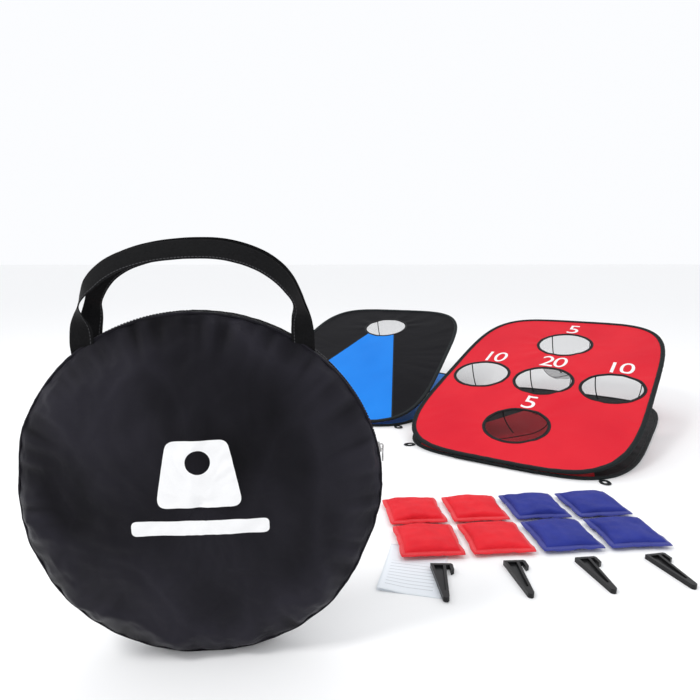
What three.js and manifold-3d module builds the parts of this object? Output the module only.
// Pop-up bean-bag toss set: two double-sided folding boards, eight bean bags,
// four ground stakes, a leaflet and a round zip carry bag.
// Millimetres, +Z up, everything standing on the ground at z = 0.
import * as THREE from 'three';
import { mergeVertices } from 'three/addons/utils/BufferGeometryUtils.js';
import Module from 'manifold-3d';

const wasm = await Module();
wasm.setup();

// ---- driving dimensions ----
const GAP = 0.3; // air between pieces that touch on the real set

// Board panels: a superellipse outline, thin fabric held by a sprung steel hoop
const PANEL_WIDTH = 600;
const PANEL_LENGTH = 900;
const OUTLINE_POWER = 4.2;
const OUTLINE_STEPS = 48;
const FOLD_ANGLE = THREE.MathUtils.degToRad(17); // wedge opening of a set-up board
const BINDING_WIDTH = 16;
const BINDING_HEIGHT = 7;
const BINDING_WALL = 1;
const HOOP_SECTION = 4;
const SHEET_THICKNESS = 1.2;
const INSET_THICKNESS = 0.8;

// Target holes and the mesh pockets sewn behind them
const HOLE_RADIUS = 80;
const HOLE_STEPS = 12; // per half turn
const FIVE_HOLE_CENTRE = 436;
const FIVE_HOLE_ROW = 262; // centre hole to front and rear holes
const FIVE_HOLE_SIDE = 190; // centre hole to left and right holes
const SINGLE_HOLE_Y = 711;
const POCKET_WALL = 1;
const POCKET_LIP = 4;
const POCKET_STEPS = 14;
const FLAT_POCKET_DEPTH = 10; // a pocket lying limp on a floor panel
const FRONT_POCKET_DEPTH = 34;
const MIDDLE_POCKET_DEPTH = 95;
const REAR_POCKET_DEPTH = 115;

// Coloured wedge on the single-hole face
const INSET_FRONT_HALF = 235;
const INSET_REAR_HALF = 42;
const INSET_REAR_Y = 690;

// Front hinge piping and stake loops
const HINGE_OFFSET = 2.6; // hinge axis to the panels' front edges
const HINGE_PIPING_RADIUS = 2.2;
const HINGE_PIPING_LENGTH = 200;
const LOOP_LENGTH = 34;
const LOOP_WIDTH = 26;
const LOOP_BAND = 6;
const LOOP_THICKNESS = 1.6;
const LOOP_TURN = 0.93; // outline parameter of a stake loop, from the side towards the front

// Carry bag: a round case on its rim, its flat faces towards -Y and +Y
const BAG_RADIUS = 214;
const BAG_RIM_HALF = 13; // half thickness at the rim seam
const BAG_BULGE = 27; // extra half thickness at the middle
const BAG_FLAT = 0.9; // depth of the sagged flat the bag stands on
const BAG_STEPS = 56;
const BAND_WALL = 1.6;
const BAND_HALF = 11;
const ZIP_START = 13; // slider at rest, degrees above the bag's right-hand side
const ZIP_END = 170;
const TAPE_BEFORE_SLIDER = 6; // degrees of zip tape past the slider
const TEETH_MARGIN = 4; // degrees from the last teeth to the slider and to the tape's end
const GUSSET_GAP = 1; // degrees between the gusset and the zip tape
const TEETH_WALL = 1.4;
const TEETH_HALF = 3;
const ARC_STEP = 6; // degrees per step of an arc band

// Zip slider and pull
const SLIDER_SIZE = [12, 9, 3.4]; // along the zip, across it, out from it
const BRIDGE_WIDTH = 2.4;
const BRIDGE_BAR = 1.5;
const BRIDGE_WINDOW = 4.4; // clear length under the bridge
const PIVOT_HEIGHT = 2.6; // pull's cross bar above the slider body
const PULL_LENGTH = 20;
const PULL_WIDTH = 6.6;
const PULL_THICKNESS = 1.4;
const PULL_EYE = { width: 3.8, near: 0.8, far: 5.4 };

// Webbing handles
const STRAP_WIDTH_LOW = 27;
const STRAP_WIDTH_TOP = 20;
const STRAP_THICKNESS = 2;
const HANDLE_HALF_SPAN = 110; // inner edge of a leg from the middle
const HANDLE_FOOT_Z = 179; // above the bag's centre
const HANDLE_INNER_TOP = 279;
const HANDLE_CORNER = 74;

// Bean bags, stakes, leaflet
const BEAN_SIZE = 110;
const BEAN_HEIGHT = 24;
const BEAN_BEVEL = 9;
const STAKE_LENGTH = 96;
const STAKE_HEAD = 36;
const STAKE_SHAFT = 25;
const STAKE_TIP = 10;
const STAKE_THICKNESS = 8;
const LEAFLET_SIZE = [100, 148];
const LEAFLET_THICKNESS = 0.6;

// Where everything is set out on the ground, bag at the front left
const RED_BOARD = { x: 580, y: 600, turn: -38 };
const BLUE_BOARD = { x: 170, y: 1020, turn: -26 };
const BEAN_ORIGIN = { x: 335, y: 235 };
const BEAN_PITCH = 122;
const STAKE_HEAD_Y = 157;
const STAKE_TURNS = [-6, -2, 2, 6]; // degrees, each stake lying a little differently
const LEAFLET = { x: 297, y: 157, turn: -18 };

// ---- materials ----
const material = (color, roughness, metalness = 0) =>
  new THREE.MeshStandardMaterial({ color, roughness, metalness });

const MATERIALS = {
  black_fabric: material(0x2a292e, 0.7),
  black_webbing: material(0x17171a, 0.8),
  black_mesh: material(0x3c3c40, 0.6),
  black_plastic: material(0x111113, 0.4),
  bag_fabric: material(0x242329, 0.55),
  red_fabric: material(0xdc2a34, 0.65),
  blue_fabric: material(0x1f7fe6, 0.65),
  red_bean: material(0xe8323c, 0.75),
  navy_bean: material(0x3a4496, 0.75),
  steel: material(0xb9bcc2, 0.3, 1),
  paper: material(0xf2f2ee, 0.8),
};

// ---- solid helpers ----
function toSolid(geometry) {
  const bare = geometry.clone();
  bare.deleteAttribute('normal');
  bare.deleteAttribute('uv');
  const merged = mergeVertices(bare);
  return new wasm.Manifold(new wasm.Mesh({
    numProp: 3,
    vertProperties: new Float32Array(merged.attributes.position.array),
    triVerts: new Uint32Array(merged.index.array),
  }));
}

function fromSolid(solid) {
  const { vertProperties, triVerts } = solid.getMesh();
  const geometry = new THREE.BufferGeometry();
  geometry.setAttribute('position', new THREE.BufferAttribute(vertProperties, 3));
  geometry.setIndex(new THREE.BufferAttribute(triVerts, 1));
  geometry.computeVertexNormals();
  return geometry;
}

const cut = (geometry, ...tools) =>
  fromSolid(tools.reduce((solid, tool) => solid.subtract(toSolid(tool)), toSolid(geometry)));

const join = (...geometries) =>
  fromSolid(geometries.map(toSolid).reduce((all, solid) => all.add(solid)));

const common = (a, b) => fromSolid(toSolid(a).intersect(toSolid(b)));

function extrude(shape, depth, z = 0, curveSegments = HOLE_STEPS) {
  const geometry = new THREE.ExtrudeGeometry(shape, { depth, bevelEnabled: false, curveSegments });
  return geometry.translate(0, 0, z);
}

function box(x, y, z, cx = 0, cy = 0, cz = 0) {
  return new THREE.BoxGeometry(x, y, z).translate(cx, cy, cz);
}

function piece(parent, name, geometry, slot) {
  const mesh = new THREE.Mesh(geometry, MATERIALS[slot]);
  mesh.name = name;
  parent.add(mesh);
  return mesh;
}

function frame(parent, { x = 0, y = 0, z = 0, turn = 0 } = {}) {
  const group = new THREE.Group();
  group.position.set(x, y, z);
  group.rotation.z = THREE.MathUtils.degToRad(turn);
  parent.add(group);
  return group;
}

// ---- board outline ----
const signedPower = (value, power) => Math.sign(value) * Math.abs(value) ** power;

// A point of the panel's outline and its outward normal; the front edge is at y = 0.
function outlinePoint(turn) {
  const a = PANEL_WIDTH / 2;
  const b = PANEL_LENGTH / 2;
  const x = a * signedPower(Math.cos(turn), 2 / OUTLINE_POWER);
  const y = b * signedPower(Math.sin(turn), 2 / OUTLINE_POWER);
  const normal = new THREE.Vector2(
    signedPower(x / a, OUTLINE_POWER - 1) / a,
    signedPower(y / b, OUTLINE_POWER - 1) / b,
  ).normalize();
  return { point: new THREE.Vector2(x, y + b), normal };
}

function outline(inset = 0) {
  return Array.from({ length: OUTLINE_STEPS }, (_, i) => {
    const { point, normal } = outlinePoint((i / OUTLINE_STEPS) * 2 * Math.PI);
    return point.addScaledVector(normal, -inset);
  });
}

function ring(outerInset, innerInset, depth, z) {
  const shape = new THREE.Shape(outline(outerInset));
  shape.holes.push(new THREE.Path(outline(innerInset)));
  return extrude(shape, depth, z);
}

// ---- board panels ----
const HOOP_INSET = BINDING_WALL + GAP;
const SHEET_INSET = HOOP_INSET + HOOP_SECTION + GAP;
const MID_HEIGHT = BINDING_HEIGHT / 2;
const HINGE_Z = BINDING_HEIGHT + GAP;

const FIVE_HOLES = [
  { name: 'front', x: 0, y: FIVE_HOLE_CENTRE - FIVE_HOLE_ROW, depth: FRONT_POCKET_DEPTH },
  { name: 'left', x: -FIVE_HOLE_SIDE, y: FIVE_HOLE_CENTRE, depth: MIDDLE_POCKET_DEPTH },
  { name: 'centre', x: 0, y: FIVE_HOLE_CENTRE, depth: MIDDLE_POCKET_DEPTH },
  { name: 'right', x: FIVE_HOLE_SIDE, y: FIVE_HOLE_CENTRE, depth: MIDDLE_POCKET_DEPTH },
  { name: 'rear', x: 0, y: FIVE_HOLE_CENTRE + FIVE_HOLE_ROW, depth: REAR_POCKET_DEPTH },
];
const SINGLE_HOLE = [{ name: 'single', x: 0, y: SINGLE_HOLE_Y, depth: REAR_POCKET_DEPTH }];

// The folded edge tape: a channel that opens inwards round the hoop and the sheet's edge.
function bindingGeometry() {
  const tape = ring(0, BINDING_WIDTH, BINDING_HEIGHT, 0);
  const channel = ring(
    BINDING_WALL,
    BINDING_WIDTH + BINDING_WALL,
    BINDING_HEIGHT - 2 * BINDING_WALL,
    BINDING_WALL,
  );
  return cut(tape, channel);
}

function hoopGeometry() {
  return ring(HOOP_INSET, HOOP_INSET + HOOP_SECTION, HOOP_SECTION, MID_HEIGHT - HOOP_SECTION / 2);
}

function sheetGeometry(holes) {
  const shape = new THREE.Shape(outline(SHEET_INSET));
  for (const { x, y } of holes) {
    shape.holes.push(new THREE.Path().absarc(x, y, HOLE_RADIUS, 0, 2 * Math.PI, true));
  }
  return extrude(shape, SHEET_THICKNESS, MID_HEIGHT - SHEET_THICKNESS / 2);
}

// A thin bowl of mesh below a hole, open at the sheet.
function pocketGeometry(depth) {
  const rows = 4;
  const radius = HOLE_RADIUS + POCKET_LIP;
  const bowl = (r, d) => Array.from({ length: rows + 1 }, (_, i) => {
    const turn = (i / rows) * (Math.PI / 2);
    return new THREE.Vector2(r * Math.sin(turn) ** 0.8, -d * Math.cos(turn) ** 0.8);
  });
  const outer = bowl(radius, depth);
  const inner = bowl(radius - POCKET_WALL, depth - POCKET_WALL).reverse();
  return new THREE.LatheGeometry([...outer, ...inner], POCKET_STEPS).rotateX(Math.PI / 2);
}

// The coloured trapezoid that runs from the single hole to the front edge.
function insetGeometry() {
  const wedge = new THREE.Shape([
    new THREE.Vector2(-INSET_FRONT_HALF, 0),
    new THREE.Vector2(INSET_FRONT_HALF, 0),
    new THREE.Vector2(INSET_REAR_HALF, INSET_REAR_Y),
    new THREE.Vector2(-INSET_REAR_HALF, INSET_REAR_Y),
  ]);
  const base = MID_HEIGHT + SHEET_THICKNESS / 2 + GAP;
  const field = extrude(new THREE.Shape(outline(BINDING_WIDTH + GAP)), 2 * BINDING_HEIGHT, 0);
  const hole = new THREE.CylinderGeometry(
    HOLE_RADIUS,
    HOLE_RADIUS,
    4 * BINDING_HEIGHT,
    2 * HOLE_STEPS,
  ).rotateX(Math.PI / 2).translate(0, SINGLE_HOLE_Y, 0);
  return cut(common(extrude(wedge, INSET_THICKNESS, base), field), hole);
}

// One hooped panel: inner side at z = 0, playing face at z = BINDING_HEIGHT.
function addPanel(parent, board, role, face, lying) {
  const colour = `${board}_fabric`;
  const five = face === 'five';
  const holes = five ? FIVE_HOLES : SINGLE_HOLE;
  piece(parent, `${board}_${role}_binding`, bindingGeometry(), 'black_webbing');
  piece(parent, `${board}_${role}_hoop`, hoopGeometry(), 'steel');
  piece(parent, `${board}_${face}_hole_sheet`, sheetGeometry(holes), five ? colour : 'black_fabric');
  if (!five) {
    piece(parent, `${board}_triangle_inset`, insetGeometry(), colour);
  }
  for (const { name, x, y, depth } of holes) {
    const pocket = pocketGeometry(lying ? FLAT_POCKET_DEPTH : depth);
    const hung = piece(parent, `${board}_${name}_pocket`, pocket, 'black_mesh');
    hung.position.set(x, y, MID_HEIGHT - SHEET_THICKNESS / 2 - GAP);
  }
}

function loopGeometry() {
  const band = (length, width) => new THREE.Shape([
    new THREE.Vector2(-width / 2, 0),
    new THREE.Vector2(width / 2, 0),
    new THREE.Vector2(width / 2, -length + width / 4),
    new THREE.Vector2(width / 4, -length),
    new THREE.Vector2(-width / 4, -length),
    new THREE.Vector2(-width / 2, -length + width / 4),
  ]);
  const outer = extrude(band(LOOP_LENGTH, LOOP_WIDTH), LOOP_THICKNESS);
  const slot = extrude(
    band(LOOP_LENGTH - 2 * LOOP_BAND, LOOP_WIDTH - 2 * LOOP_BAND),
    4 * LOOP_THICKNESS,
    -LOOP_THICKNESS,
  ).translate(0, -LOOP_BAND, 0);
  return cut(outer, slot);
}

function addStakeLoops(parent, board) {
  for (const side of [-1, 1]) {
    const { point, normal } = outlinePoint(-Math.PI / 2 + side * (Math.PI / 2 - LOOP_TURN));
    const foot = point.addScaledVector(normal, GAP);
    const name = `${board}_${side < 0 ? 'left' : 'right'}_stake_loop`;
    const loop = piece(parent, name, loopGeometry(), 'black_webbing');
    loop.position.set(foot.x, foot.y + HINGE_OFFSET, 0);
    loop.rotation.z = Math.atan2(normal.y, normal.x) + Math.PI / 2;
  }
}

// A board set up as a wedge; its origin is on the ground under the front hinge.
function addBoard(parent, board, place, topFace) {
  const ground = frame(parent, place);
  const floorFace = topFace === 'five' ? 'single' : 'five';

  const floorPanel = new THREE.Group();
  floorPanel.rotation.y = Math.PI;
  floorPanel.position.set(0, HINGE_OFFSET, BINDING_HEIGHT);
  ground.add(floorPanel);
  addPanel(floorPanel, board, 'base', floorFace, true);

  const hinge = new THREE.Group();
  hinge.position.z = HINGE_Z;
  hinge.rotation.x = FOLD_ANGLE;
  ground.add(hinge);
  const raisedPanel = new THREE.Group();
  raisedPanel.position.set(0, HINGE_OFFSET, GAP);
  hinge.add(raisedPanel);
  addPanel(raisedPanel, board, 'top', topFace, false);

  const piping = new THREE.CylinderGeometry(
    HINGE_PIPING_RADIUS,
    HINGE_PIPING_RADIUS,
    HINGE_PIPING_LENGTH,
    10,
  ).rotateZ(Math.PI / 2);
  piece(ground, `${board}_hinge_piping`, piping, 'black_webbing').position.z = HINGE_Z;
  addStakeLoops(ground, board);
}

// ---- carry bag, built about its centre with its axis along Y ----
const BAG_CENTRE_Z = BAG_RADIUS + BAND_WALL + GAP - BAG_FLAT;

// Keeps what is above the flat that the bag stands on.
function aboveFlat(geometry) {
  const size = 4 * BAG_RADIUS;
  return common(geometry, box(size, size, size, 0, 0, size / 2 - BAG_CENTRE_Z));
}

// Half of the stuffed case: a flat seam side at y = 0 and a domed face towards -Y.
function bagPanelGeometry() {
  const dome = [1, 0.985, 0.94, 0.86, 0.7, 0.45, 0].map((share) => {
    const height = BAG_RIM_HALF + BAG_BULGE * (1 - share ** 4) ** 0.6;
    return new THREE.Vector2(BAG_RADIUS * share, height);
  });
  const profile = [new THREE.Vector2(0, GAP), new THREE.Vector2(BAG_RADIUS, GAP), ...dome];
  const half = new THREE.LatheGeometry(profile, BAG_STEPS);
  return aboveFlat(half.rotateX(Math.PI));
}

// A strip wrapped round the bag's rim between two angles, measured from +X towards +Z.
function rimBand(radius, wall, halfWidth, from, to) {
  const shape = new THREE.Shape();
  const steps = Math.ceil((to - from) / ARC_STEP);
  const at = (r, i) => {
    const turn = THREE.MathUtils.degToRad(from + ((to - from) * i) / steps);
    return new THREE.Vector2(r * Math.cos(turn), r * Math.sin(turn));
  };
  const ends = Array.from({ length: steps + 1 }, (_, i) => i);
  shape.setFromPoints([
    ...ends.map((i) => at(radius + wall, i)),
    ...ends.reverse().map((i) => at(radius, i)),
  ]);
  return extrude(shape, 2 * halfWidth, -halfWidth).rotateX(Math.PI / 2);
}

// The chord of a faceted arc dips below its circle by this share.
const FACET_SAG = 1 / Math.cos(THREE.MathUtils.degToRad(ARC_STEP / 2));
const BAND_RADIUS = (BAG_RADIUS + GAP) * FACET_SAG;
const TEETH_RADIUS = (BAND_RADIUS + BAND_WALL + GAP) * FACET_SAG;
const SLIDER_RADIUS = TEETH_RADIUS + TEETH_WALL + GAP;

// Slider body with a bridge on top; x runs along the zip, z away from the bag.
function sliderGeometry() {
  const [length, width, height] = SLIDER_SIZE;
  const body = box(length, width, height, 0, 0, height / 2);
  const reach = PIVOT_HEIGHT + 1.1; // underside of the bridge above the body
  const postX = (BRIDGE_WINDOW + BRIDGE_BAR) / 2;
  const posts = [-postX, postX].map((x) =>
    box(BRIDGE_BAR, BRIDGE_WIDTH, reach + BRIDGE_BAR + 1, x, 0, height + (reach + BRIDGE_BAR - 1) / 2));
  const bar = box(BRIDGE_WINDOW + 1, BRIDGE_WIDTH, BRIDGE_BAR, 0, 0, height + reach + BRIDGE_BAR / 2);
  return join(body, ...posts, bar);
}

// Flat pull hanging towards -Z; its cross bar, at the origin, lies under the slider's bridge.
function pullGeometry() {
  const rectangle = (half, top, bottom) => [
    new THREE.Vector2(-half, top),
    new THREE.Vector2(-half, bottom),
    new THREE.Vector2(half, bottom),
    new THREE.Vector2(half, top),
  ];
  const shape = new THREE.Shape(rectangle(PULL_WIDTH / 2, PULL_THICKNESS / 2, -PULL_LENGTH));
  const { width, near, far } = PULL_EYE;
  shape.holes.push(new THREE.Path(rectangle(width / 2, -near, -far)));
  const tab = extrude(shape, PULL_THICKNESS, -PULL_THICKNESS / 2);
  return tab.rotateX(Math.PI / 2).rotateZ(Math.PI / 2);
}

// A flat webbing arch, its feet ending on the bag's rim.
function handleGeometry() {
  const arch = (halfSpan, top, corner) => {
    const shape = new THREE.Path();
    shape.moveTo(halfSpan, HANDLE_FOOT_Z);
    shape.lineTo(halfSpan, top - corner);
    shape.quadraticCurveTo(halfSpan - corner / 8, top, halfSpan - corner, top);
    shape.lineTo(corner - halfSpan, top);
    shape.quadraticCurveTo(corner / 8 - halfSpan, top, -halfSpan, top - corner);
    shape.lineTo(-halfSpan, HANDLE_FOOT_Z);
    return shape.getPoints(6);
  };
  const outer = arch(
    HANDLE_HALF_SPAN + STRAP_WIDTH_LOW,
    HANDLE_INNER_TOP + STRAP_WIDTH_TOP,
    HANDLE_CORNER + STRAP_WIDTH_TOP,
  );
  const inner = arch(HANDLE_HALF_SPAN, HANDLE_INNER_TOP, HANDLE_CORNER).reverse();
  const band = extrude(new THREE.Shape([...outer, ...inner]), STRAP_THICKNESS).rotateX(Math.PI / 2);
  const rim = new THREE.CylinderGeometry(
    BAND_RADIUS + BAND_WALL + GAP,
    BAND_RADIUS + BAND_WALL + GAP,
    BAG_RADIUS,
    BAG_STEPS,
  );
  return cut(band, rim);
}

function addZip(bag) {
  const tape = rimBand(BAND_RADIUS, BAND_WALL, BAND_HALF, ZIP_START - TAPE_BEFORE_SLIDER, ZIP_END);
  piece(bag, 'zip_tape', tape, 'black_webbing');
  const teeth = rimBand(
    TEETH_RADIUS,
    TEETH_WALL,
    TEETH_HALF,
    ZIP_START - TEETH_MARGIN,
    ZIP_END - TEETH_MARGIN,
  );
  piece(bag, 'zip_teeth', teeth, 'black_plastic');

  const carrier = new THREE.Group();
  carrier.rotation.y = THREE.MathUtils.degToRad(90 - ZIP_START);
  bag.add(carrier);
  piece(carrier, 'zip_slider', sliderGeometry(), 'steel').position.z = SLIDER_RADIUS;

  const pivot = SLIDER_RADIUS + SLIDER_SIZE[2] + PIVOT_HEIGHT;
  const turn = THREE.MathUtils.degToRad(ZIP_START);
  const pull = piece(bag, 'zip_pull', pullGeometry(), 'steel');
  pull.position.set(pivot * Math.cos(turn), 0, pivot * Math.sin(turn));
}

function addBag(parent) {
  const bag = frame(parent, { z: BAG_CENTRE_Z });
  piece(bag, 'bag_front_panel', bagPanelGeometry(), 'bag_fabric');
  const back = piece(bag, 'bag_back_panel', bagPanelGeometry(), 'bag_fabric');
  back.rotation.z = Math.PI;
  const gusset = rimBand(
    BAND_RADIUS,
    BAND_WALL,
    BAND_HALF,
    ZIP_END + GUSSET_GAP,
    360 - GUSSET_GAP + ZIP_START - TAPE_BEFORE_SLIDER,
  );
  piece(bag, 'bag_gusset', aboveFlat(gusset), 'bag_fabric');
  addZip(bag);
  for (const [name, side] of [['front_handle', -1], ['rear_handle', 1]]) {
    const handle = piece(bag, name, handleGeometry(), 'black_webbing');
    handle.position.y = side * (BAND_HALF + GAP) + (side > 0 ? STRAP_THICKNESS : 0);
  }
}

// ---- bean bags, stakes and leaflet ----
const ON_LEAFLET = LEAFLET_THICKNESS + GAP;

function beanGeometry() {
  const half = BEAN_SIZE / 2 - BEAN_BEVEL;
  const shape = new THREE.Shape([
    new THREE.Vector2(-half, -half),
    new THREE.Vector2(half, -half),
    new THREE.Vector2(half, half),
    new THREE.Vector2(-half, half),
  ]);
  return new THREE.ExtrudeGeometry(shape, {
    depth: BEAN_HEIGHT - 2 * BEAN_BEVEL,
    bevelThickness: BEAN_BEVEL,
    bevelSize: BEAN_BEVEL,
    bevelSegments: 2,
  }).translate(0, 0, BEAN_BEVEL);
}

function addBeanBags(parent) {
  for (let row = 0; row < 2; row += 1) {
    for (let column = 0; column < 4; column += 1) {
      const red = column < 2;
      const number = row * 2 + (column % 2) + 1;
      const name = `${red ? 'red' : 'blue'}_bean_bag_${number}`;
      const bean = piece(parent, name, beanGeometry(), red ? 'red_bean' : 'navy_bean');
      const lift = row === 0 && column === 0 ? ON_LEAFLET : 0;
      bean.position.set(BEAN_ORIGIN.x + column * BEAN_PITCH, BEAN_ORIGIN.y + row * BEAN_PITCH, lift);
    }
  }
}

// A broad tapering peg along -Y with a rounded tip, a hook at its head and a grooved face.
function stakeGeometry() {
  const half = STAKE_SHAFT / 2;
  const tip = STAKE_TIP / 2;
  const shaft = new THREE.Shape();
  shaft.moveTo(half, 0);
  shaft.lineTo(-half, 0);
  shaft.lineTo(-tip, -STAKE_LENGTH + tip);
  shaft.absarc(0, -STAKE_LENGTH + tip, tip, Math.PI, 2 * Math.PI, false);
  const reach = STAKE_HEAD - half;
  const lip = (reach - half) / 2;
  const hook = new THREE.Shape([
    new THREE.Vector2(0, -lip),
    new THREE.Vector2(reach - lip, -lip),
    new THREE.Vector2(reach - lip, -4 * lip),
    new THREE.Vector2(reach, -3.4 * lip),
    new THREE.Vector2(reach, -lip / 2),
    new THREE.Vector2(reach - lip / 2, 0),
    new THREE.Vector2(0, 0),
  ]);
  const groove = new THREE.Shape([
    new THREE.Vector2(-half * 0.6, -lip),
    new THREE.Vector2(half * 0.6, -lip),
    new THREE.Vector2(tip * 0.4, -STAKE_LENGTH * 0.8),
    new THREE.Vector2(-tip * 0.4, -STAKE_LENGTH * 0.8),
  ].reverse());
  const peg = join(extrude(shaft, STAKE_THICKNESS, 0, 5), extrude(hook, STAKE_THICKNESS));
  return cut(peg, extrude(groove, STAKE_THICKNESS, STAKE_THICKNESS / 2));
}

function addStakes(parent) {
  for (let i = 0; i < 4; i += 1) {
    const stake = piece(parent, `stake_${i + 1}`, stakeGeometry(), 'black_plastic');
    stake.position.set(BEAN_ORIGIN.x + i * BEAN_PITCH, STAKE_HEAD_Y, i === 0 ? ON_LEAFLET : 0);
    stake.rotation.z = THREE.MathUtils.degToRad(STAKE_TURNS[i]);
  }
}

function addLeaflet(parent) {
  const sheet = box(...LEAFLET_SIZE, LEAFLET_THICKNESS, 0, 0, LEAFLET_THICKNESS / 2);
  const leaflet = piece(parent, 'leaflet', sheet, 'paper');
  leaflet.position.set(LEAFLET.x, LEAFLET.y, 0);
  leaflet.rotation.z = THREE.MathUtils.degToRad(LEAFLET.turn);
}

// ---- the whole set, its origin under the middle of its bounding box ----
const layout = new THREE.Group();
addBoard(layout, 'red', RED_BOARD, 'five');
addBoard(layout, 'blue', BLUE_BOARD, 'single');
addBag(layout);
addBeanBags(layout);
addStakes(layout);
addLeaflet(layout);

const extent = new THREE.Box3().setFromObject(layout, true);
const middle = extent.getCenter(new THREE.Vector3());
layout.position.set(-middle.x, -middle.y, -extent.min.z);

const set = new THREE.Group();
set.add(layout);

export default set;
